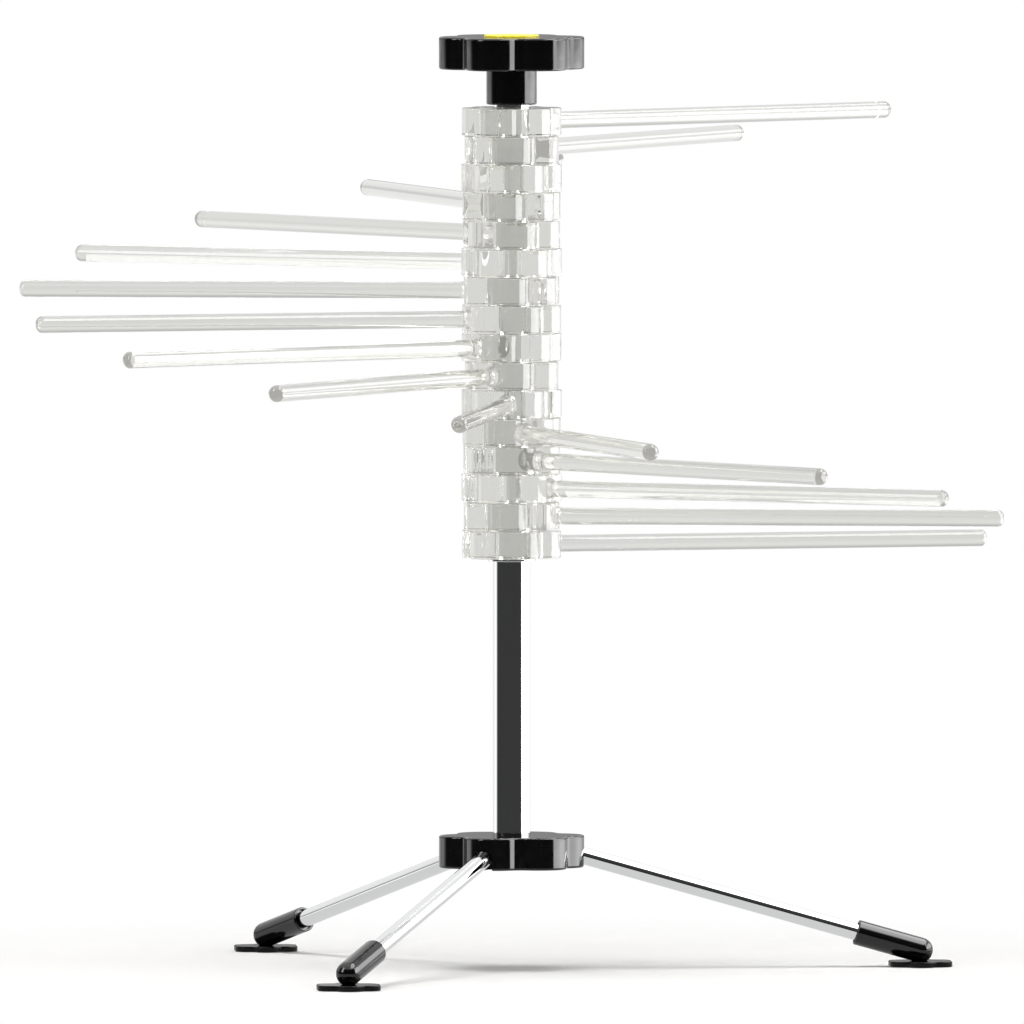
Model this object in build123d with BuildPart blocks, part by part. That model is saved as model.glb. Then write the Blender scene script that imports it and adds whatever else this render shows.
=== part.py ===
from build123d import *
import os
from math import asin, atan2, cos, degrees, hypot, radians, sin

# A drying rack for fresh pasta, in millimetres. The origin is on the axis of the column, at the
# height of the table. +Z is up, and the direction away from the front is +Y.
# Sixteen clear arms hang on a tube, each on its own ring. The rings are linked so that each one
# turns one step on the ring below, which fans the arms out or closes them to a comb.

os.makedirs("parts", exist_ok=True)

# Fits and edges
running_clearance = 0.08
free_clearance = 0.3
close_fit = 0.1
cut_overrun = 2.0

# Lobed outline shared by the knob, the hub, the rings and the feet. The rings and the feet,
# which repeat, have three flats to each lobe in place of its arc, and one flat in each valley.
lobe_count = 6
lobe_share = 0.4
valley_share = 0.15
flat_shares = (-1.0, -0.35, 0.35, 1.0)

# Column tube
tube_radius = 9.0
tube_wall = 1.1
tube_rise = 9.84

# Rings and arms
arm_count = 16
first_arm_angle = 40.05
arm_step = 22.39
arm_reach = 235.3
arm_radius = 4.0
arm_root_start = 16.0
ring_radius = 24.0
ring_pitch = 13.41
stack_bottom = 195.9

# Link between one ring and the next
tab_path_radius = 15.5
tab_width = 3.0
tab_arc = 18.0
tab_height = 2.0
tab_place = 180.0

# Stop under the lowest ring
stop_radius = 11.5
stop_thickness = 1.2

# Knob, its collar and the pick-up wand
head_radius = 34.75
head_height = 15.5
knob_rise = 8.5
collar_radius = 12.05
collar_length = 16.8
wand_radius = 4.0
wand_length = 253.3
wand_depth_in_knob = 13.0
emblem_radius = 13.15
emblem_thickness = 0.9

# Hub
hub_bottom = 48.4
tube_depth_in_hub = 9.9

# Legs and feet
leg_names = ("right", "rear", "front")
first_leg_angle = 6.9
leg_radius = 4.0
pivot_inset = 8.75
pivot_rise = 7.75
pin_radius = 1.5
pin_length = 16.0
keeper_thickness = 2.5
keeper_back = 9.0
keeper_front = 3.0
foot_place = 196.1
ankle_height = 7.8
sleeve_radius = 6.0
sleeve_length = 32.0
sleeve_nose = 4.6
rod_end_gap = 5.0
foot_disc_radius = 16.3
foot_disc_thickness = 2.7
foot_turn = 33.0

# Values that follow from the sizes above
ring_height = ring_pitch - free_clearance
ring_turn = 180 / lobe_count
stack_top = stack_bottom + ring_pitch * (arm_count - 1) + ring_height
tube_top = stack_top + tube_rise
ring_bore = tube_radius + running_clearance
tube_bore = tube_radius - tube_wall
knob_bottom = tube_top + knob_rise
knob_top = knob_bottom + head_height
collar_bottom = knob_bottom - collar_length
hub_top = hub_bottom + head_height
keeper_top = hub_bottom + keeper_thickness
tube_bottom = hub_top - tube_depth_in_hub
socket_roof = tube_top + free_clearance
wand_bottom = socket_roof + wand_depth_in_knob - wand_length
pivot_place = head_radius - pivot_inset
pivot_height = hub_bottom + pivot_rise
leg_slope = atan2(pivot_height - ankle_height, foot_place - pivot_place)
leg_length = hypot(pivot_height - ankle_height, foot_place - pivot_place)
slot_reach = leg_radius + free_clearance
slot_run = head_radius + cut_overrun + slot_reach - pivot_place
leg_angles = [first_leg_angle + 360 * n / len(leg_names) for n in range(len(leg_names))]


def head_outline():
    """The outline of the knob and the hub: six broad lobes with an arc in each valley. Every
    other lobe stands over a leg."""
    lobe_radius = head_radius * lobe_share
    Circle(head_radius - lobe_radius)
    with PolarLocations(head_radius - lobe_radius, lobe_count, start_angle=first_leg_angle):
        Circle(lobe_radius)
    fillet(vertices(), radius=head_radius * valley_share)


def flat_lobed_outline(radius, turn):
    """The same lobes with flats, each lobe's points lying on its circle up to the valley's arc."""
    lobe_radius = radius * lobe_share
    centre = radius - lobe_radius
    half_pitch = radians(180 / lobe_count)
    reach = half_pitch + asin(centre * sin(half_pitch) / (lobe_radius + radius * valley_share))
    points = []
    for lobe in range(lobe_count):
        middle = radians(turn) + 2 * half_pitch * lobe
        for share in flat_shares:
            points.append((centre * cos(middle) + lobe_radius * cos(middle + share * reach),
                           centre * sin(middle) + lobe_radius * sin(middle + share * reach)))
    Polygon(*points, align=None)


def radial_plane(angle):
    """The upright plane through the column at an angle: x runs outward and y runs up."""
    a = radians(angle)
    return Plane(origin=(0, 0, 0), x_dir=(cos(a), sin(a), 0), z_dir=(sin(a), -cos(a), 0))


def leg_plane(angle, along):
    """The plane across a leg's axis, at a distance along it from the pivot."""
    place = pivot_place + along * cos(leg_slope)
    height = pivot_height - along * sin(leg_slope)
    a = radians(angle)
    return Plane(origin=(place * cos(a), place * sin(a), height),
                 x_dir=(-sin(a), cos(a), 0),
                 z_dir=(cos(leg_slope) * cos(a), cos(leg_slope) * sin(a), -sin(leg_slope)))


def link_track(turn, arc, width):
    """A sector of a ring, centred on a turn about the column."""
    inner = tab_path_radius - width / 2
    outer = tab_path_radius + width / 2
    with BuildLine() as edge:
        near = CenterArc((0, 0), inner, turn - arc / 2, arc)
        far = CenterArc((0, 0), outer, turn - arc / 2, arc)
        Line(near @ 0, far @ 0)
        Line(near @ 1, far @ 1)
    make_face(edge.edges())


def make_arm(number):
    """One clear arm, number 1 at the top: a lobed ring with the rod in one of its valleys."""
    angle = first_arm_angle + arm_step * (number - 1)
    bottom = stack_bottom + ring_pitch * (arm_count - number)
    top = bottom + ring_height
    tab_turn = angle + tab_place
    spare_arc = degrees(free_clearance / tab_path_radius)
    with BuildPart() as arm:
        with BuildSketch(Plane.XY.offset(bottom)):
            flat_lobed_outline(ring_radius, angle + ring_turn)
        extrude(amount=ring_height)
        across = radial_plane(angle)
        root = across.from_local_coords((arm_root_start, bottom + ring_height / 2, 0))
        with BuildSketch(Plane(origin=root, x_dir=across.z_dir, z_dir=across.x_dir)):
            Circle(arm_radius)
        extrude(amount=arm_reach - arm_root_start)
        with BuildSketch(Plane.XY.offset(bottom)):
            Circle(ring_bore)
        extrude(amount=ring_height, mode=Mode.SUBTRACT)
        # The slot in the upper face, which takes the tab of the ring above through one step
        with BuildSketch(Plane.XY.offset(top)):
            link_track(tab_turn - arm_step / 2, tab_arc + arm_step + 2 * spare_arc,
                       tab_width + 2 * free_clearance)
        extrude(amount=-tab_height, mode=Mode.SUBTRACT)
        # The tab under the ring, which reaches into the ring below. The lowest ring has none.
        if number < arm_count:
            with BuildSketch(Plane.XY.offset(bottom)):
                link_track(tab_turn, tab_arc, tab_width)
            extrude(amount=-tab_height)
    arm.part.label = f"arm_{number:02d}"
    export_step(arm.part, f"parts/arm_{number:02d}.step")


for arm_number in range(1, arm_count + 1):
    make_arm(arm_number)


# The tube, with the swaged ring that carries the stack of arms
with BuildPart() as column_tube:
    with BuildSketch(Plane.XY.offset(tube_bottom)):
        Circle(tube_radius)
    extrude(amount=tube_top - tube_bottom)
    with BuildSketch(Plane.XY.offset(stack_bottom - free_clearance)):
        Circle(stop_radius)
    extrude(amount=-stop_thickness)
    with BuildSketch(Plane.XY.offset(tube_bottom)):
        Circle(tube_bore)
    extrude(amount=tube_top - tube_bottom, mode=Mode.SUBTRACT)
column_tube.part.label = "column_tube"
export_step(column_tube.part, "parts/column_tube.step")

# The knob that the wand is lifted by, with a collar that caps the tube
with BuildPart() as knob:
    with BuildSketch(Plane.XY.offset(knob_bottom)):
        head_outline()
    extrude(amount=head_height)
    with BuildSketch(Plane.XY.offset(collar_bottom)):
        Circle(collar_radius)
    extrude(amount=knob_bottom - collar_bottom)
    with BuildSketch(Plane.XY.offset(collar_bottom)):
        Circle(tube_radius + free_clearance)
    extrude(amount=socket_roof - collar_bottom, mode=Mode.SUBTRACT)
    with BuildSketch(Plane.XY.offset(socket_roof)):
        Circle(wand_radius)
    extrude(amount=wand_depth_in_knob, mode=Mode.SUBTRACT)
knob.part.label = "knob"
export_step(knob.part, "parts/knob.step")

# The plain disc on top of the knob
with BuildPart() as knob_emblem:
    with BuildSketch(Plane.XY.offset(knob_top)):
        Circle(emblem_radius)
    extrude(amount=emblem_thickness)
knob_emblem.part.label = "knob_emblem"
export_step(knob_emblem.part, "parts/knob_emblem.step")

# The wand, which is stored inside the tube
with BuildPart() as wand_rod:
    with BuildSketch(Plane.XY.offset(wand_bottom)):
        Circle(wand_radius)
    extrude(amount=socket_roof + wand_depth_in_knob - wand_bottom)
wand_rod.part.label = "wand_rod"
export_step(wand_rod.part, "parts/wand_rod.step")


def leg_slot_outline():
    """The side view of the room that a leg needs, from open to folded straight down."""
    inner = pivot_place - slot_reach
    low = hub_bottom - cut_overrun
    outer_place = pivot_place + slot_run * cos(leg_slope)
    outer_height = pivot_height - slot_run * sin(leg_slope)
    with BuildLine() as side:
        Line((inner, low), (inner, pivot_height))
        roof = CenterArc((pivot_place, pivot_height), slot_reach, 180, -(180 + degrees(leg_slope)))
        Polyline(roof @ 1, (outer_place, outer_height), (outer_place, low), (inner, low))
    make_face(side.edges())


def keeper_outline(angle, spare):
    """The outline of the plate under a pivot pin, seen from below."""
    a = radians(angle)
    with Locations(Location((pivot_place * cos(a), pivot_place * sin(a)), angle)):
        with Locations(((keeper_front - keeper_back) / 2, 0)):
            Rectangle(keeper_back + keeper_front + 2 * spare, pin_length + 2 * spare)


# The hub, open at the side and below for each leg, with an arch over the leg and a cradle for
# each pivot pin
with BuildPart() as hub_body:
    with BuildSketch(Plane.XY.offset(hub_bottom)):
        head_outline()
    extrude(amount=head_height)
    with BuildSketch(Plane.XY.offset(tube_bottom)):
        Circle(tube_radius)
    extrude(amount=tube_depth_in_hub, mode=Mode.SUBTRACT)
    for leg_angle in leg_angles:
        with BuildSketch(Plane.XY.offset(hub_bottom)):
            keeper_outline(leg_angle, close_fit)
        extrude(amount=keeper_thickness, mode=Mode.SUBTRACT)
        with BuildSketch(radial_plane(leg_angle)):
            leg_slot_outline()
        extrude(amount=slot_reach, both=True, mode=Mode.SUBTRACT)
        with BuildSketch(leg_plane(leg_angle, 0)):
            Circle(slot_reach)
        extrude(amount=slot_run, mode=Mode.SUBTRACT)
        with BuildSketch(radial_plane(leg_angle)):
            with Locations((pivot_place, pivot_height)):
                Circle(pin_radius)
                Rectangle(2 * pin_radius, pivot_height - hub_bottom, align=(Align.CENTER, Align.MAX))
        extrude(amount=pin_length / 2, both=True, mode=Mode.SUBTRACT)
hub_body.part.label = "hub_body"
export_step(hub_body.part, "parts/hub_body.step")


def make_leg(name, angle):
    """One leg: its pivot pin and keeper, its rod, and the sleeve and disc that it stands on."""
    with BuildPart() as pin:
        with BuildSketch(radial_plane(angle)):
            with Locations((pivot_place, pivot_height)):
                Circle(pin_radius)
        extrude(amount=pin_length / 2, both=True)
    pin.part.label = f"{name}_pivot_pin"
    export_step(pin.part, f"parts/{name}_pivot_pin.step")

    # The keeper is forked round the slot, with a pad on each side that holds the pin up
    with BuildPart() as keeper:
        with BuildSketch(Plane.XY.offset(hub_bottom)):
            keeper_outline(angle, 0)
        extrude(amount=keeper_thickness)
        with BuildSketch(radial_plane(angle)):
            with Locations((pivot_place, keeper_top)):
                Rectangle(2 * (pin_radius - close_fit), pivot_height - pin_radius - keeper_top,
                          align=(Align.CENTER, Align.MIN))
        extrude(amount=pin_length / 2, both=True)
        with BuildSketch(radial_plane(angle)):
            leg_slot_outline()
        extrude(amount=slot_reach, both=True, mode=Mode.SUBTRACT)
    keeper.part.label = f"{name}_pin_keeper"
    export_step(keeper.part, f"parts/{name}_pin_keeper.step")

    # The rod's inner end is round about the pin, so that it turns inside its slot
    with BuildPart() as rod:
        with BuildSketch(leg_plane(angle, -leg_radius)):
            Circle(leg_radius)
        extrude(amount=leg_radius + leg_length - rod_end_gap)
        with BuildSketch(radial_plane(angle)):
            with Locations((pivot_place, pivot_height)):
                Circle(2 * leg_radius)
                Circle(leg_radius, mode=Mode.SUBTRACT)
                with Locations(Rotation(0, 0, -degrees(leg_slope))):
                    Rectangle(2 * leg_radius, 4 * leg_radius, align=(Align.MIN, Align.CENTER),
                              mode=Mode.SUBTRACT)
        extrude(amount=leg_radius, both=True, mode=Mode.SUBTRACT)
        with BuildSketch(radial_plane(angle)):
            with Locations((pivot_place, pivot_height)):
                Circle(pin_radius + running_clearance)
        extrude(amount=leg_radius + cut_overrun, both=True, mode=Mode.SUBTRACT)
    rod.part.label = f"{name}_leg_rod"
    export_step(rod.part, f"parts/{name}_leg_rod.step")

    # The sleeve runs past the middle of the disc and is cut flat where it stands on it
    with BuildPart() as sleeve:
        with BuildSketch(leg_plane(angle, leg_length - sleeve_length)):
            Circle(sleeve_radius)
        extrude(amount=sleeve_length + sleeve_nose)
        with BuildSketch(leg_plane(angle, leg_length - sleeve_length)):
            Circle(leg_radius)
        extrude(amount=sleeve_length - rod_end_gap, mode=Mode.SUBTRACT)
        split(bisect_by=Plane.XY.offset(foot_disc_thickness), keep=Keep.TOP)
    sleeve.part.label = f"{name}_foot_sleeve"
    export_step(sleeve.part, f"parts/{name}_foot_sleeve.step")

    with BuildPart() as disc:
        with BuildSketch(Plane(origin=radial_plane(angle).from_local_coords((foot_place, 0, 0)))):
            flat_lobed_outline(foot_disc_radius, foot_turn)
        extrude(amount=foot_disc_thickness)
    disc.part.label = f"{name}_foot_disc"
    export_step(disc.part, f"parts/{name}_foot_disc.step")


for leg_name, leg_angle in zip(leg_names, leg_angles):
    make_leg(leg_name, leg_angle)
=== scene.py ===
import bmesh
import bpy
from math import atan2, cos, hypot, pi, radians, sin, sqrt
from mathutils import Matrix, Vector


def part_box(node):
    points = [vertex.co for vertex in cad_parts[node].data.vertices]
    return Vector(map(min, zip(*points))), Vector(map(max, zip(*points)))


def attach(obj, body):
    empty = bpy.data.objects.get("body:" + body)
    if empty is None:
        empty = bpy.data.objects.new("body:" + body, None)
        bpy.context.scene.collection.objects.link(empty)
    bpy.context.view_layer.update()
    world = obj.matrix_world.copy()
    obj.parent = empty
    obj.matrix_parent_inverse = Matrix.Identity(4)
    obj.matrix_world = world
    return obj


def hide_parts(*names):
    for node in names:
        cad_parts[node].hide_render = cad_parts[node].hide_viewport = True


# A drying rack for fresh pasta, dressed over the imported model. Lengths are in metres and angles
# in degrees, in the frame of the model: the column stands on the origin, +Z is up and the front
# is towards -Y.

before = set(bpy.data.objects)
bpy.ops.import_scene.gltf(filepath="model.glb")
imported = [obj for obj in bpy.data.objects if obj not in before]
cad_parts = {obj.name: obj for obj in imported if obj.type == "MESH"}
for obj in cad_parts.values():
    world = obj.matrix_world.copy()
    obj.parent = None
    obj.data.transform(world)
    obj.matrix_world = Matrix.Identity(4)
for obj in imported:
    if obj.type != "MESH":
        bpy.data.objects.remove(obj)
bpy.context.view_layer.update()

mm = 0.001

# Camera. Its angle, scale and centre were measured on the photograph. It stands far away, because
# the photograph shows almost no perspective, but no further than the other views allow.
image_size = 1024
view_elevation = 2.64
scale_at_column = 0.4756 * mm
column_pixel_x = 511.6
centre_height = 217.7 * mm
camera_distance = 23.0
sensor_width = 6.0

# Lobed outline shared by the knob, the hub, the rings and the feet. The radii of its lobes and
# of the valleys between them are shares of its own radius.
lobe_count = 6
lobe_share = 0.4
valley_share = 0.15
lobe_steps = 28
valley_steps = 12

# Knob and hub
head_radius = 34.75 * mm
head_edge = 1.1 * mm
collar_radius = 12.05 * mm
collar_edge = 0.8 * mm
emblem_edge = 0.35 * mm
emblem_rim = 0.9 * mm
emblem_middle = 0.1 * mm
emblem_groove = 0.05 * mm
emblem_crown_share = 0.2

# Rings and arms. Each arm starts in a valley between two lobes of its ring.
arm_count = 16
first_arm_angle = 40.05
arm_step = 22.39
arm_reach = 235.3 * mm
arm_radius = 4 * mm
arm_tip_round = 2.9 * mm
arm_root_start = 16 * mm
arm_flare_radius = 5 * mm
arm_flare_length = 4 * mm
ring_radius = 24 * mm
ring_edge = 0.6 * mm
ring_bore = 9.08 * mm
ring_height = 13.11 * mm
ring_turn = 180 / lobe_count
tab_path_radius = 15.5 * mm
tab_width = 3 * mm
tab_arc = 18
tab_height = 2 * mm
tab_place = 180
link_clearance = 0.3 * mm

# Column
tube_radius = 9 * mm
tube_wall = 1.1 * mm
tube_edge = 0.3 * mm
stop_radius = 11.5 * mm
stop_thickness = 1.2 * mm

# Legs and feet
leg_names = ("right", "rear", "front")
first_leg_angle = 6.9
leg_radius = 4 * mm
pivot_place = 26 * mm
pivot_height = 56.15 * mm
foot_place = 196.1 * mm
ankle_height = 7.8 * mm
rod_end_gap = 5 * mm
rod_end_angle = -85
sleeve_radius = 6 * mm
sleeve_length = 32 * mm
sleeve_mouth_radius = 4.9 * mm
sleeve_mouth_depth = 1.5 * mm
sleeve_edge = 0.5 * mm
sleeve_end_angle = 86
foot_disc_radius = 16.3 * mm
foot_disc_edge = 0.5 * mm
foot_turn = 33.0
slot_half_width = 4.3 * mm
keeper_size = (12.2 * mm, 16.2 * mm, 2.5 * mm)
keeper_middle = 23 * mm
screw_places = ((19.6 * mm, -5.4 * mm), (19.6 * mm, 5.4 * mm))
screw_head_radius = 1.6 * mm
screw_head_rise = 0.55 * mm
screw_head_angles = (0, 15, 30, 45, 60, 75, 86)
screw_cross = (1.9 * mm, 0.4 * mm, 0.5 * mm)

leg_slope = atan2(pivot_height - ankle_height, foot_place - pivot_place)
leg_length = hypot(pivot_height - ankle_height, foot_place - pivot_place)
leg_angles = [first_leg_angle + 360 * n / len(leg_names) for n in range(len(leg_names))]

# Steps that curves are divided into
edge_steps = 5
emblem_steps = 8
end_steps = 12
sleeve_end_steps = 16
arch_steps = 18
tab_steps = 24
screw_steps = 32
rod_steps = 64
leg_steps = 96
bore_steps = 128

# Angles between faces above which the edge between them stays sharp
sharp_angle = 35
disc_sharp_angle = 50

# Colours, and how the surfaces vary. A haze is a noise's features per metre and the two levels of
# roughness that it runs between. Waves are a noise's features per metre and their height.
white = (1, 1, 1, 1)
clear_tint = (0.965, 0.965, 0.93, 1)
clear_haze = (90, 0.0, 0.04)
clear_waves = (60, 0.012 * mm)
# Painted glow of the clear plastic: past this many mirror turns inside it, it shines faintly in
# this tint, though it is no lamp.
painted_glow_after = 3.5
painted_glow_level = 0.22
painted_glow_tint = (1, 0.98, 0.94, 1)
chrome_tint = (0.74, 0.745, 0.75, 1)
chrome_haze = (180, 0.06, 0.08)
chrome_waves = (45, 0.008 * mm)
black_tint = (0.002, 0.002, 0.0022, 1)
black_haze = (140, 0.06, 0.13)
black_waves = (110, 0.008 * mm)
black_gloss = 0.5
foot_gloss = 0.15
yellow_tints = ((0.8, 0.66, 0.015, 1), (0.88, 0.74, 0.03, 1))
yellow_tone_scale = 260
yellow_haze = (300, 0.25, 0.4)
steel_tint = (0.5, 0.5, 0.51, 1)
steel_haze = (900, 0.25, 0.45)
plastic_ior = 1.5
noise_detail = 3.0
noise_range = (0.35, 0.65)

# Floor
floor_size = 12.0
floor_drop = 0.1 * mm
floor_tint = (0.735, 0.73, 0.722, 1)
floor_bounce_tint = (0.75, 0.745, 0.74, 1)

# Studio. Two values are where a soft step starts and ends: on the floor at a distance from the
# column, and in the room where a direction leans so far one way, from -1 to 1. Four values are
# the step's start, its end and its two levels. A level of 1 is white. A side panel is its middle
# and half width, in degrees from the front round to the right, and its front and back levels.
front_lean = 0.21
front_edge = (-0.14, 0.12)
room_levels = (0.05, 1.05)
panel_blur = 2.5
panel_fade = (0.1, 1.0)
side_panels = ((103, 39, 8.0, 0.5), (-118, 10, 2.0, 1.0))
overhead_rise = (0.62, 0.74)
overhead_level = 1.6
high_side = (0.22, 0.34)
high_rise = (0.7, 0.8)
high_level = 8.0
horizon_line = (0.1, 0.24, 0.3, 1.0)
near_floor_level = 0.82
floor_fade = (0.16, 0.5)
mirror_fade = (0.35, 0.7)
through_floor = (0.25, 1.0, 0.6, 0.72)
through_front = (-0.9, -0.7, 0.4, 0.76)
through_overhead = (0.3, 0.75, 1.0, 0.6)
ambient_level = 0.3

# Lamps: name, place, target, size, watts, and whether mirrors show the lamp
lamps = (("overhead", (0, -0.28, 2.2), (0, 0, 0.2), (1.2, 1.2), 45, False),
         ("left", (-1.9, -1.1, 1.3), (0, 0, 0.22), (0.7, 1.6), 22, True),
         ("right", (2.0, -0.7, 1.1), (0, 0, 0.22), (0.7, 1.6), 16, True))


# Mesh helpers

def lobed_points(radius, turn, inset):
    """The lobed outline, moved inward by an inset, as points round the axis."""
    lobe = radius * lobe_share
    valley = radius * valley_share
    centre = radius - lobe
    half_pitch = pi / lobe_count
    valley_place = centre * cos(half_pitch)
    valley_place += sqrt((lobe + valley) ** 2 - (centre * sin(half_pitch)) ** 2)
    lobe_half = atan2(valley_place * sin(half_pitch), valley_place * cos(half_pitch) - centre)
    valley_half = lobe_half - half_pitch
    points = []
    for number in range(lobe_count):
        middle = radians(turn) + 2 * half_pitch * number
        for step in range(lobe_steps):
            a = middle - lobe_half + 2 * lobe_half * step / lobe_steps
            points.append((centre * cos(middle) + (lobe - inset) * cos(a),
                           centre * sin(middle) + (lobe - inset) * sin(a)))
        across = middle + half_pitch
        for step in range(valley_steps):
            a = across + pi + valley_half - 2 * valley_half * step / valley_steps
            points.append((valley_place * cos(across) + (valley + inset) * cos(a),
                           valley_place * sin(across) + (valley + inset) * sin(a)))
    return points


def rounded_levels(low, high, edge):
    """Insets and heights for a wall whose lower and upper edges are rounded."""
    turns = [radians(90 * step / edge_steps) for step in range(edge_steps + 1)]
    lower = [(edge * (1 - sin(t)), low + edge * (1 - cos(t))) for t in turns]
    upper = [(edge * (1 - cos(t)), high - edge * (1 - sin(t))) for t in turns]
    return lower + upper


def stack_loops(loops, closed=False):
    """A closed mesh through loops of equal length, capped at both ends unless it is a ring."""
    bm = bmesh.new()
    rows = [[bm.verts.new(p) for p in loop] for loop in loops]
    pairs = list(zip(rows, rows[1:]))
    if closed:
        pairs.append((rows[-1], rows[0]))
    for low, high in pairs:
        for i in range(len(low)):
            j = (i + 1) % len(low)
            bm.faces.new((low[i], low[j], high[j], high[i]))
    if not closed:
        bm.faces.new(list(reversed(rows[0])))
        bm.faces.new(rows[-1])
    bmesh.ops.recalc_face_normals(bm, faces=bm.faces)
    return bm


def lobed_solid(radius, turn, low, high, edge):
    """A lobed plate with rounded edges."""
    return stack_loops([[(x, y, z) for x, y in lobed_points(radius, turn, inset)]
                        for inset, z in rounded_levels(low, high, edge)])


def lathe(profile, steps, closed=False):
    """A round solid about the z axis, from radii and heights."""
    turns = [2 * pi * n / steps for n in range(steps)]
    return stack_loops([[(r * cos(t), r * sin(t), z) for t in turns] for r, z in profile], closed)


def corner(radius, height, edge, start, stop, steps=edge_steps):
    """An arc of a lathe profile, about the centre (radius, height)."""
    turns = [radians(start + (stop - start) * n / steps) for n in range(steps + 1)]
    return [(radius + edge * cos(t), height + edge * sin(t)) for t in turns]


def sector(inner, outer, middle, arc, low, high):
    """A sector of a ring, in degrees about its middle."""
    turns = [radians(middle + arc * (n / tab_steps - 0.5)) for n in range(tab_steps + 1)]
    outline = [(outer * cos(t), outer * sin(t)) for t in turns]
    outline += [(inner * cos(t), inner * sin(t)) for t in reversed(turns)]
    return stack_loops([[(x, y, z) for x, y in outline] for z in (low, high)])


def block(size, middle):
    """A box of a size about its middle."""
    bm = bmesh.new()
    matrix = Matrix.Translation(middle) @ Matrix.Diagonal((*size, 1))
    bmesh.ops.create_cube(bm, size=1, matrix=matrix)
    return bm


def turned(angle):
    """A turn about the column."""
    return Matrix.Rotation(radians(angle), 4, "Z")


def shift(bm, matrix):
    """Moves a bmesh."""
    bmesh.ops.transform(bm, matrix=matrix, verts=bm.verts)
    return bm


def to_mesh(bm):
    """The mesh of a bmesh, which is freed."""
    mesh = bpy.data.meshes.new("shape")
    bm.to_mesh(mesh)
    bm.free()
    return mesh


def to_object(mesh, name):
    """A new object of the scene."""
    piece = bpy.data.objects.new(name, mesh)
    bpy.context.scene.collection.objects.link(piece)
    return piece


def carve(body, steps):
    """The mesh of a bmesh that others are joined to or cut from in turn."""
    piece = to_object(to_mesh(body), "carve_body")
    tools = []
    for operation, bm in steps:
        tool = to_object(to_mesh(bm), "carve_tool")
        boolean = piece.modifiers.new("carve", "BOOLEAN")
        boolean.operation = operation
        boolean.solver = "EXACT"
        boolean.object = tool
        tools.append(tool)
    graph = bpy.context.evaluated_depsgraph_get()
    result = bpy.data.meshes.new_from_object(piece.evaluated_get(graph), depsgraph=graph)
    for thing in [piece] + tools:
        mesh = thing.data
        bpy.data.objects.remove(thing)
        bpy.data.meshes.remove(mesh)
    return result


def add_piece(mesh, name, body, material, nodes=(), sharp=sharp_angle):
    """A finished piece: smooth but for its sharp edges, on its body and in place of its nodes."""
    mesh.name = name
    mesh.materials.clear()
    mesh.materials.append(material)
    for face in mesh.polygons:
        face.use_smooth = True
    mesh.set_sharp_from_angle(angle=radians(sharp))
    piece = to_object(mesh, name)
    normals = piece.modifiers.new("flat faces stay flat", "WEIGHTED_NORMAL")
    normals.keep_sharp = True
    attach(piece, body)
    if nodes:
        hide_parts(*nodes)


# Materials

class Tree:
    """The nodes of a material or a world. A value is a plain one or another node's output."""

    def __init__(self, owner):
        owner.use_nodes = True
        self.owner = owner
        self.nodes = owner.node_tree.nodes
        self.links = owner.node_tree.links

    def feed(self, socket, value):
        """Links a node's output to a socket, or sets a plain value."""
        if isinstance(value, bpy.types.NodeSocket):
            self.links.new(value, socket)
        else:
            socket.default_value = value

    def add(self, kind, inputs, output=0, **settings):
        """One output of a new node with these inputs and settings."""
        node = self.nodes.new(kind)
        for name, setting in settings.items():
            setattr(node, name, setting)
        for socket, value in inputs.items():
            self.feed(node.inputs[socket], value)
        return node.outputs[output]

    def shade(self, socket, value):
        """Feeds a socket of a material's own shader."""
        self.feed(self.nodes["Principled BSDF"].inputs[socket], value)

    def place(self):
        """The point that is shaded, in the frame of the model."""
        return self.add("ShaderNodeTexCoord", {}, "Object")

    def noise(self, scale):
        """Noise with this many features to the metre."""
        inputs = {"Vector": self.place(), "Scale": scale, "Detail": noise_detail}
        return self.add("ShaderNodeTexNoise", inputs, "Fac")

    def ramp(self, source, start, stop, low, high, kind="SMOOTHSTEP"):
        """A step from one level to another as a value grows, soft unless it is linear."""
        inputs = {"Value": source, "From Min": start, "From Max": stop,
                  "To Min": low, "To Max": high}
        return self.add("ShaderNodeMapRange", inputs, "Result", interpolation_type=kind)

    def combine(self, operation, first, *others):
        """The first value taken with each of the others in turn."""
        for other in others:
            first = self.add("ShaderNodeMath", {0: first, 1: other}, operation=operation)
        return first

    def along(self, direction, aim):
        """How far a direction runs along an aim."""
        inputs = {0: direction, 1: aim}
        return self.add("ShaderNodeVectorMath", inputs, "Value", operation="DOT_PRODUCT")

    def light(self, strength, kind="ShaderNodeEmission"):
        """A white light, on a surface or in the world."""
        return self.add(kind, {"Color": white, "Strength": strength})

    def choose(self, share, without, chosen):
        """One shader or another, by a share from nought to one."""
        return self.add("ShaderNodeMixShader", {"Fac": share, 1: without, 2: chosen})

    def by_ray(self, plain, camera, glossy, transmission):
        """A shader that differs for what the camera, mirrors and clear plastic see."""
        path = self.nodes.new("ShaderNodeLightPath")
        shader = plain
        for flag, chosen in (("Is Camera Ray", camera), ("Is Glossy Ray", glossy),
                             ("Is Transmission Ray", transmission)):
            shader = self.choose(path.outputs[flag], shader, chosen)
        return shader


def new_material(name, levels, haze, waves=None):
    """A material from its shader's plain levels, its haze and its waves."""
    tree = Tree(bpy.data.materials.new(name))
    for socket, level in levels.items():
        tree.shade(socket, level)
    scale, low, high = haze
    tree.shade("Roughness", tree.ramp(tree.noise(scale), *noise_range, low, high, "LINEAR"))
    if waves:
        scale, height = waves
        inputs = {"Height": tree.noise(scale), "Strength": 1.0, "Distance": height}
        tree.shade("Normal", tree.add("ShaderNodeBump", inputs))
    return tree


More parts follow.
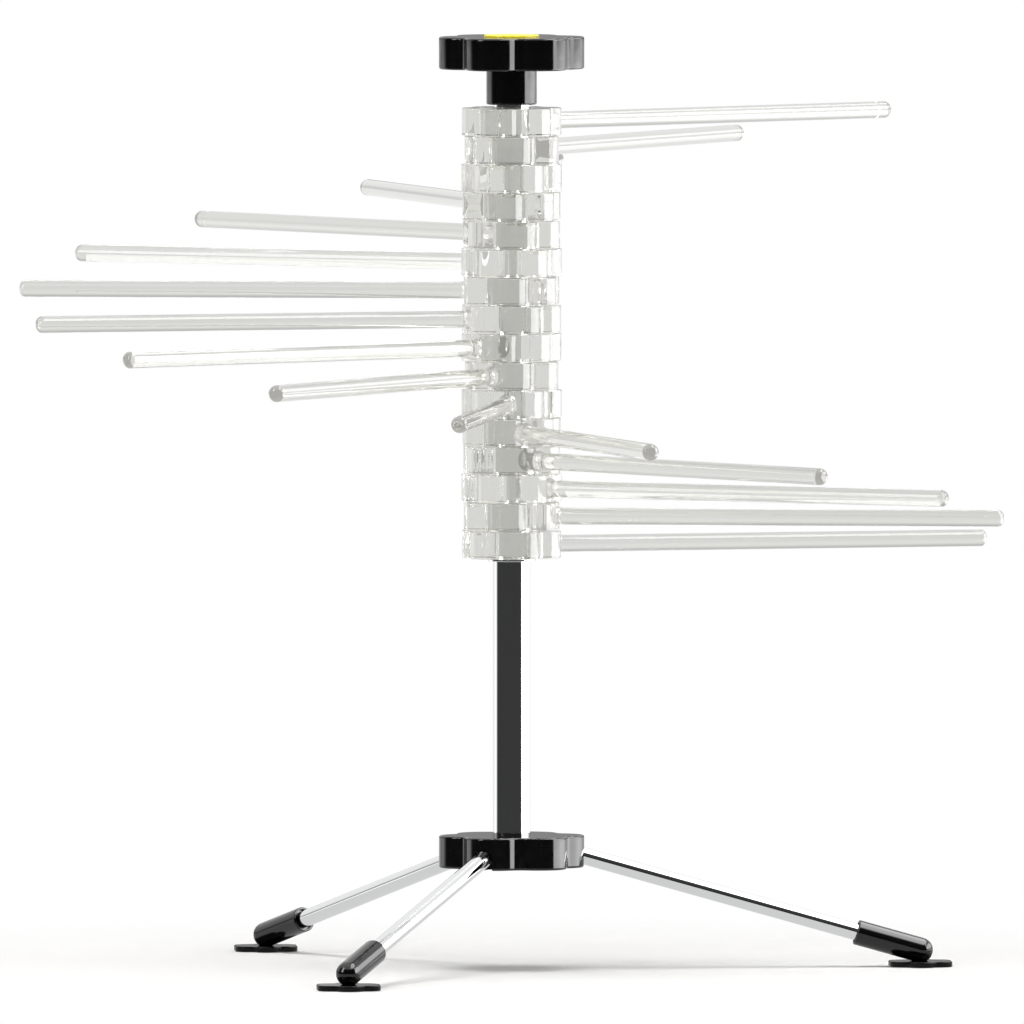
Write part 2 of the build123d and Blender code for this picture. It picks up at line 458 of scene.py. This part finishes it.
def clear_plastic():
    """Clear moulded plastic. Past a few mirror turns inside it, it glows faintly with a painted
    glow, though it is no lamp, so that rays still inside it come out pale and not black."""
    levels = {"Base Color": clear_tint, "Transmission Weight": 1.0, "IOR": plastic_ior,
              "Emission Color": painted_glow_tint}
    tree = new_material("clear_plastic", levels, clear_haze, clear_waves)
    # Painted glow: the plastic shines by itself once a ray has turned in mirrors more than a few
    # times.
    mirrors = tree.add("ShaderNodeLightPath", {}, "Glossy Depth")
    painted_glow_share = tree.combine("GREATER_THAN", mirrors, painted_glow_after)
    tree.shade("Emission Strength", tree.combine("MULTIPLY", painted_glow_share, painted_glow_level))
    return tree.owner


def chrome():
    """Bright plating, with a little unevenness and a faint haze."""
    levels = {"Base Color": chrome_tint, "Metallic": 1.0}
    return new_material("chrome", levels, chrome_haze, chrome_waves).owner


def black_plastic(name, gloss):
    """Black moulded plastic."""
    levels = {"Base Color": black_tint, "IOR": plastic_ior, "Specular IOR Level": gloss}
    return new_material(name, levels, black_haze, black_waves).owner


def yellow_plastic():
    """Satin yellow plastic, a little uneven in tone."""
    tree = new_material("yellow_plastic", {}, yellow_haze)
    inputs = {"Fac": tree.noise(yellow_tone_scale), "Color1": yellow_tints[0],
              "Color2": yellow_tints[1]}
    tree.shade("Base Color", tree.add("ShaderNodeMixRGB", inputs))
    return tree.owner


def steel():
    """Ground steel, for the pins and screws."""
    levels = {"Base Color": steel_tint, "Metallic": 1.0}
    return new_material("steel", levels, steel_haze).owner


clear = clear_plastic()
bright = chrome()
black = black_plastic("black_plastic", black_gloss)
dark = black_plastic("foot_plastic", foot_gloss)
yellow = yellow_plastic()
ground = steel()


# Pieces

def arm_profile():
    """The rod of an arm: a small flare at the ring and a rounded tip."""
    flare_end = ring_radius * (1 - valley_share) + arm_flare_length
    profile = [(arm_flare_radius, arm_root_start)]
    for step in range(edge_steps + 1):
        share = step / edge_steps
        blend = (1 + cos(pi * share)) / 2
        profile.append((arm_radius + (arm_flare_radius - arm_radius) * blend,
                        flare_end + arm_flare_length * (share - 1)))
    profile.append((arm_radius, arm_reach / 2))
    profile += corner(arm_radius - arm_tip_round, arm_reach - arm_tip_round, arm_tip_round, 0, 90)
    return profile


def arm_mesh(with_tab):
    """An arm along +X, with the middle of its ring on the origin."""
    half = ring_height / 2
    along_x = Matrix.Rotation(pi / 2, 4, "Y")
    inner = tab_path_radius - tab_width / 2
    outer = tab_path_radius + tab_width / 2
    spare_arc = 2 * link_clearance / tab_path_radius * 180 / pi
    steps = [("UNION", shift(lathe(arm_profile(), rod_steps), along_x)),
             ("DIFFERENCE", lathe([(ring_bore, -2 * half), (ring_bore, 2 * half)], bore_steps)),
             ("DIFFERENCE", sector(inner - link_clearance, outer + link_clearance,
                                   tab_place - arm_step / 2, tab_arc + arm_step + spare_arc,
                                   half - tab_height, half + tab_height))]
    if with_tab:
        steps.append(("UNION", sector(inner, outer, tab_place, tab_arc,
                                      -half - tab_height, -half + tab_height)))
    return carve(lobed_solid(ring_radius, ring_turn, -half, half, ring_edge), steps)


def build_arms():
    """The arms from the top down. The last has no arm below it to link to, and so no tab."""
    linked = arm_mesh(True)
    last = arm_mesh(False)
    for number in range(1, arm_count + 1):
        node = f"arm_{number:02d}"
        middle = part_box(node)[1][2] - ring_height / 2
        mesh = (linked if number < arm_count else last).copy()
        mesh.transform(Matrix.Translation((0, 0, middle))
                       @ turned(first_arm_angle + arm_step * (number - 1)))
        add_piece(mesh, f"{node}_clear", f"{node}_body", clear, [node])
    for mesh in (linked, last):
        bpy.data.meshes.remove(mesh)


def build_column():
    """The tube, with the stop ring that carries the arms."""
    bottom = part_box("column_tube")[0][2]
    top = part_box("column_tube")[1][2]
    stop_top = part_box("arm_16")[0][2] - link_clearance
    stop_bottom = stop_top - stop_thickness
    stop_middle = stop_radius - tube_edge
    tube_bore = tube_radius - tube_wall
    profile = [(tube_bore, bottom), (tube_radius, bottom), (tube_radius, stop_bottom)]
    profile += corner(stop_middle, stop_bottom + tube_edge, tube_edge, -90, 0)
    profile += corner(stop_middle, stop_top - tube_edge, tube_edge, 0, 90)
    profile += [(tube_radius, stop_top)]
    profile += corner(tube_radius - tube_edge, top - tube_edge, tube_edge, 0, 90)
    profile += corner(tube_bore + tube_edge, top - tube_edge, tube_edge, 90, 180)
    add_piece(to_mesh(lathe(profile, bore_steps, closed=True)), "column_tube_bright", "stand",
              bright, ["column_tube"])


def build_knob():
    """The knob: a plate as high as the hub, and a collar under it that clears the tube."""
    low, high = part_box("knob")
    hub_low, hub_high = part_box("hub_body")
    plate_low = high[2] - (hub_high[2] - hub_low[2])
    cap = lobed_solid(head_radius, first_leg_angle, plate_low, high[2], head_edge)
    add_piece(to_mesh(cap), "knob_cap", "wand", black, ["knob"])
    bore = tube_radius + link_clearance
    collar = [(bore, low[2] + collar_edge / 2), (bore + collar_edge / 2, low[2])]
    collar += corner(collar_radius - collar_edge, low[2] + collar_edge, collar_edge, -90, 0)
    collar += [(collar_radius, plate_low + head_edge), (bore, plate_low + head_edge)]
    add_piece(to_mesh(lathe(collar, bore_steps, closed=True)), "knob_collar", "wand", black,
              ["knob"])


def build_emblem():
    """The disc on the knob, with a rounded rim and a low crown inside it."""
    low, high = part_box("knob_emblem")
    radius = (high[0] - low[0]) / 2
    rise = high[2] - low[2]
    profile = [(radius, low[2]), (radius, low[2] + rise / 2)]
    profile += corner(radius - emblem_edge, low[2] + rise / 2, emblem_edge, 0, 90)[1:]
    for step in range(1, emblem_steps + 1):
        inward = step / emblem_steps
        outward = 1 - inward
        profile.append(((radius - emblem_rim) * outward + emblem_middle * inward,
                        high[2] - rise * outward ** 2 * emblem_crown_share
                        - emblem_groove * outward))
    add_piece(to_mesh(lathe(profile, bore_steps)), "knob_disc", "wand", yellow,
              ["knob_emblem"], sharp=disc_sharp_angle)


def build_wand():
    """The wand, with a rounded tip."""
    low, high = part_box("wand_rod")
    profile = corner(arm_radius - arm_tip_round, low[2] + arm_tip_round, arm_tip_round, -90, 0)
    profile.append((arm_radius, high[2]))
    add_piece(to_mesh(lathe(profile, rod_steps)), "wand_clear", "wand", clear,
              ["wand_rod"])


def along_leg(angle, distance):
    """Turns a lathe's axis along a leg, with its origin at a distance from the pivot."""
    place = Vector((pivot_place + distance * cos(leg_slope), 0,
                    pivot_height - distance * sin(leg_slope)))
    tilt = Matrix.Rotation(pi / 2 + leg_slope, 4, "Y")
    return turned(angle) @ Matrix.Translation(place) @ tilt


def slot_cutter(low, run):
    """The room for a leg, along +X: round over the pivot, and open below the leg's axis."""
    outline = [(pivot_place - slot_half_width, low)]
    for step in range(arch_steps + 1):
        turn = pi - (pi + leg_slope) * step / arch_steps
        outline.append((pivot_place + slot_half_width * cos(turn),
                        pivot_height + slot_half_width * sin(turn)))
    outer = pivot_place + run * cos(leg_slope)
    outline += [(outer, pivot_height - run * sin(leg_slope)), (outer, low)]
    return stack_loops([[(x, y, z) for x, z in outline]
                        for y in (-slot_half_width, slot_half_width)])


def build_hub():
    """The hub: the tube's seat from above, and a keeper's recess and an arched slot for each
    leg."""
    low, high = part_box("hub_body")
    seat = lathe([(tube_radius, 0), (tube_radius, high[2])], bore_steps)
    tube_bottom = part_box("column_tube")[0][2]
    steps = [("DIFFERENCE", shift(seat, Matrix.Translation((0, 0, tube_bottom))))]
    length, width, depth = keeper_size
    for angle in leg_angles:
        recess = block((length, width, 2 * depth), (keeper_middle, 0, low[2]))
        slot = slot_cutter(low[2] - depth, head_radius)
        arch = lathe([(slot_half_width, 0), (slot_half_width, head_radius)], rod_steps)
        steps += [("DIFFERENCE", shift(recess, turned(angle))),
                  ("DIFFERENCE", shift(slot, turned(angle))),
                  ("DIFFERENCE", shift(arch, along_leg(angle, 0)))]
    mesh = carve(lobed_solid(head_radius, first_leg_angle, low[2], high[2], head_edge), steps)
    add_piece(mesh, "hub_shell", "stand", black, ["hub_body"])


def screw_head():
    """A pan head that points down, with a cross in it."""
    profile = [(screw_head_radius, screw_head_rise / 4)]
    profile += [(screw_head_radius * cos(radians(t)), -screw_head_rise * sin(radians(t)))
                for t in screw_head_angles]
    length, width, depth = screw_cross
    return carve(lathe(profile, screw_steps),
                 [("DIFFERENCE", block(size, (0, 0, -screw_head_rise)))
                  for size in ((length, width, depth), (width, length, depth))])


def build_screws(name, angle):
    """The screws that hold the keeper of a leg's pin."""
    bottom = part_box(f"{name}_pin_keeper")[0][2]
    heads = bmesh.new()
    for place in screw_places:
        head = screw_head()
        head.transform(turned(angle) @ Matrix.Translation((*place, bottom)))
        heads.from_mesh(head)
        bpy.data.meshes.remove(head)
    add_piece(to_mesh(heads), f"{name}_keeper_screws", "stand", ground)


def build_leg(name, angle):
    """A leg: its rod with a round end in the hub, the sleeve over its foot, and the disc."""
    body = f"{name}_leg"
    rod = corner(0, 0, leg_radius, rod_end_angle, 0, end_steps)
    rod.append((leg_radius, leg_length - rod_end_gap))
    add_piece(to_mesh(shift(lathe(rod, leg_steps), along_leg(angle, 0))), f"{name}_leg_bright",
              body, bright, [f"{name}_leg_rod"])

    mouth = -sleeve_length
    lip = sleeve_edge / 2
    sleeve = [(leg_radius / 2, mouth + sleeve_mouth_depth),
              (sleeve_mouth_radius, mouth + sleeve_mouth_depth)]
    sleeve += corner(sleeve_mouth_radius + lip, mouth + lip, lip, 180, 270)
    sleeve += corner(sleeve_radius - sleeve_edge, mouth + sleeve_edge, sleeve_edge, -90, 0)
    sleeve += corner(0, 0, sleeve_radius, 0, sleeve_end_angle, sleeve_end_steps)
    add_piece(to_mesh(shift(lathe(sleeve, leg_steps), along_leg(angle, leg_length))),
              f"{name}_sleeve", body, black, [f"{name}_foot_sleeve"])

    low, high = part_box(f"{name}_foot_disc")
    disc = lobed_solid(foot_disc_radius, foot_turn, low[2], high[2], foot_disc_edge)
    place = turned(angle) @ Vector((foot_place, 0, 0))
    add_piece(to_mesh(shift(disc, Matrix.Translation(place))), f"{name}_foot", body, dark,
              [f"{name}_foot_disc"])


def finish_nodes():
    """Materials for the nodes that stay."""
    for name in leg_names:
        for node, material in ((f"{name}_pivot_pin", ground), (f"{name}_pin_keeper", black)):
            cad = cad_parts[node]
            cad.data.materials.clear()
            cad.data.materials.append(material)


# Floor, world, lamps and camera

def walls(tree, direction):
    """The level of the room round about: dark in front, white behind, and a bright panel on each
    side."""
    room = tree.ramp(tree.along(direction, (front_lean, 1, 0)), *front_edge, *room_levels)
    levels = [room]
    for middle, half, front, rear in side_panels:
        aim = (sin(radians(middle)), -cos(radians(middle)), 0)
        edge = tree.ramp(tree.along(direction, aim), cos(radians(half + panel_blur)),
                         cos(radians(half - panel_blur)), 0.0, 1.0)
        level = tree.ramp(tree.along(direction, (0, 1, 0)), *panel_fade, front, rear)
        levels.append(tree.combine("MULTIPLY", edge, level))
    return tree.combine("MAXIMUM", *levels)


def floor_paint():
    """A pale floor that keeps the shadow and runs into the white background. Mirrors show it pale
    near the rack and as the room further out, and clear plastic shows it as a light grey."""
    tree = Tree(bpy.data.materials.new("floor"))
    tree.nodes.remove(tree.nodes["Principled BSDF"])
    place = tree.place()
    away = tree.add("ShaderNodeVectorMath", {0: place}, "Value", operation="LENGTH")
    outward = tree.add("ShaderNodeVectorMath", {0: place}, "Vector", operation="NORMALIZE")
    paint = tree.add("ShaderNodeBsdfDiffuse", {"Color": floor_tint})
    bounce = tree.add("ShaderNodeBsdfDiffuse", {"Color": floor_bounce_tint})
    camera = tree.choose(tree.ramp(away, *floor_fade, 0.0, 1.0), paint, tree.light(1.0))
    glossy = tree.choose(tree.ramp(away, *mirror_fade, 0.0, 1.0), tree.light(near_floor_level),
                         tree.light(walls(tree, outward)))
    transmission = tree.light(tree.ramp(away, *through_floor))
    surface = tree.by_ray(bounce, camera, glossy, transmission)
    tree.feed(tree.nodes["Material Output"].inputs["Surface"], surface)
    return tree.owner


def build_floor():
    """The floor, just under the feet."""
    mesh = bpy.data.meshes.new("floor")
    far = floor_size
    mesh.from_pydata([(-far, -far, 0), (far, -far, 0), (far, far, 0), (-far, far, 0)], [],
                     [(0, 1, 2, 3)])
    mesh.materials.append(floor_paint())
    floor = to_object(mesh, "floor")
    floor.location.z = -floor_drop


def build_world():
    """The room above the floor: white to the camera, an even light on the object, and for mirrors
    and clear plastic the walls and panels of a studio."""
    tree = Tree(bpy.data.worlds.new("studio"))
    direction = tree.add("ShaderNodeTexCoord", {}, "Generated")
    side, back, up = (tree.along(direction, aim) for aim in ((1, 0, 0), (0, 1, 0), (0, 0, 1)))
    high_panel = tree.combine("MULTIPLY", tree.ramp(side, *high_side, 0.0, 1.0),
                              tree.ramp(up, *high_rise, 0.0, high_level))
    overhead = tree.ramp(up, *overhead_rise, 0.0, overhead_level)
    glossy = tree.combine("MAXIMUM", walls(tree, direction), high_panel, overhead)
    glossy = tree.combine("MULTIPLY", glossy, tree.ramp(up, *horizon_line))
    transmission = tree.combine("MULTIPLY", tree.ramp(back, *through_front),
                                tree.ramp(up, *through_overhead))
    surface = tree.by_ray(*(tree.light(level, "ShaderNodeBackground")
                            for level in (ambient_level, 1.0, glossy, transmission)))
    tree.feed(tree.nodes["World Output"].inputs["Surface"], surface)
    bpy.context.scene.world = tree.owner


def build_lamp(name, place, target, size, power, mirrored):
    """A rectangular lamp that faces its target."""
    light = bpy.data.lights.new(name, "AREA")
    light.shape = "RECTANGLE"
    light.size, light.size_y = size
    light.energy = power
    lamp = to_object(light, name)
    lamp.location = place
    lamp.rotation_euler = (Vector(target) - Vector(place)).to_track_quat("-Z", "Y").to_euler()
    lamp.visible_glossy = mirrored


def build_camera():
    """The photograph's view."""
    data = bpy.data.cameras.new("camera")
    data.sensor_width = sensor_width
    data.lens = camera_distance / scale_at_column * sensor_width / image_size
    data.clip_start = camera_distance / 10
    data.clip_end = camera_distance * 2
    tilt = radians(view_elevation)
    side = (image_size / 2 - column_pixel_x) * scale_at_column
    camera = to_object(data, "camera")
    camera.location = (side, -camera_distance * cos(tilt),
                       centre_height + camera_distance * sin(tilt))
    camera.rotation_euler = (pi / 2 - tilt, 0, 0)
    bpy.context.scene.camera = camera


build_arms()
build_column()
build_knob()
build_emblem()
build_wand()
build_hub()
for leg_name, leg_angle in zip(leg_names, leg_angles):
    build_screws(leg_name, leg_angle)
    build_leg(leg_name, leg_angle)
finish_nodes()

build_floor()
build_world()
for lamp in lamps:
    build_lamp(*lamp)
build_camera()
bpy.context.scene.view_settings.view_transform = "Standard"
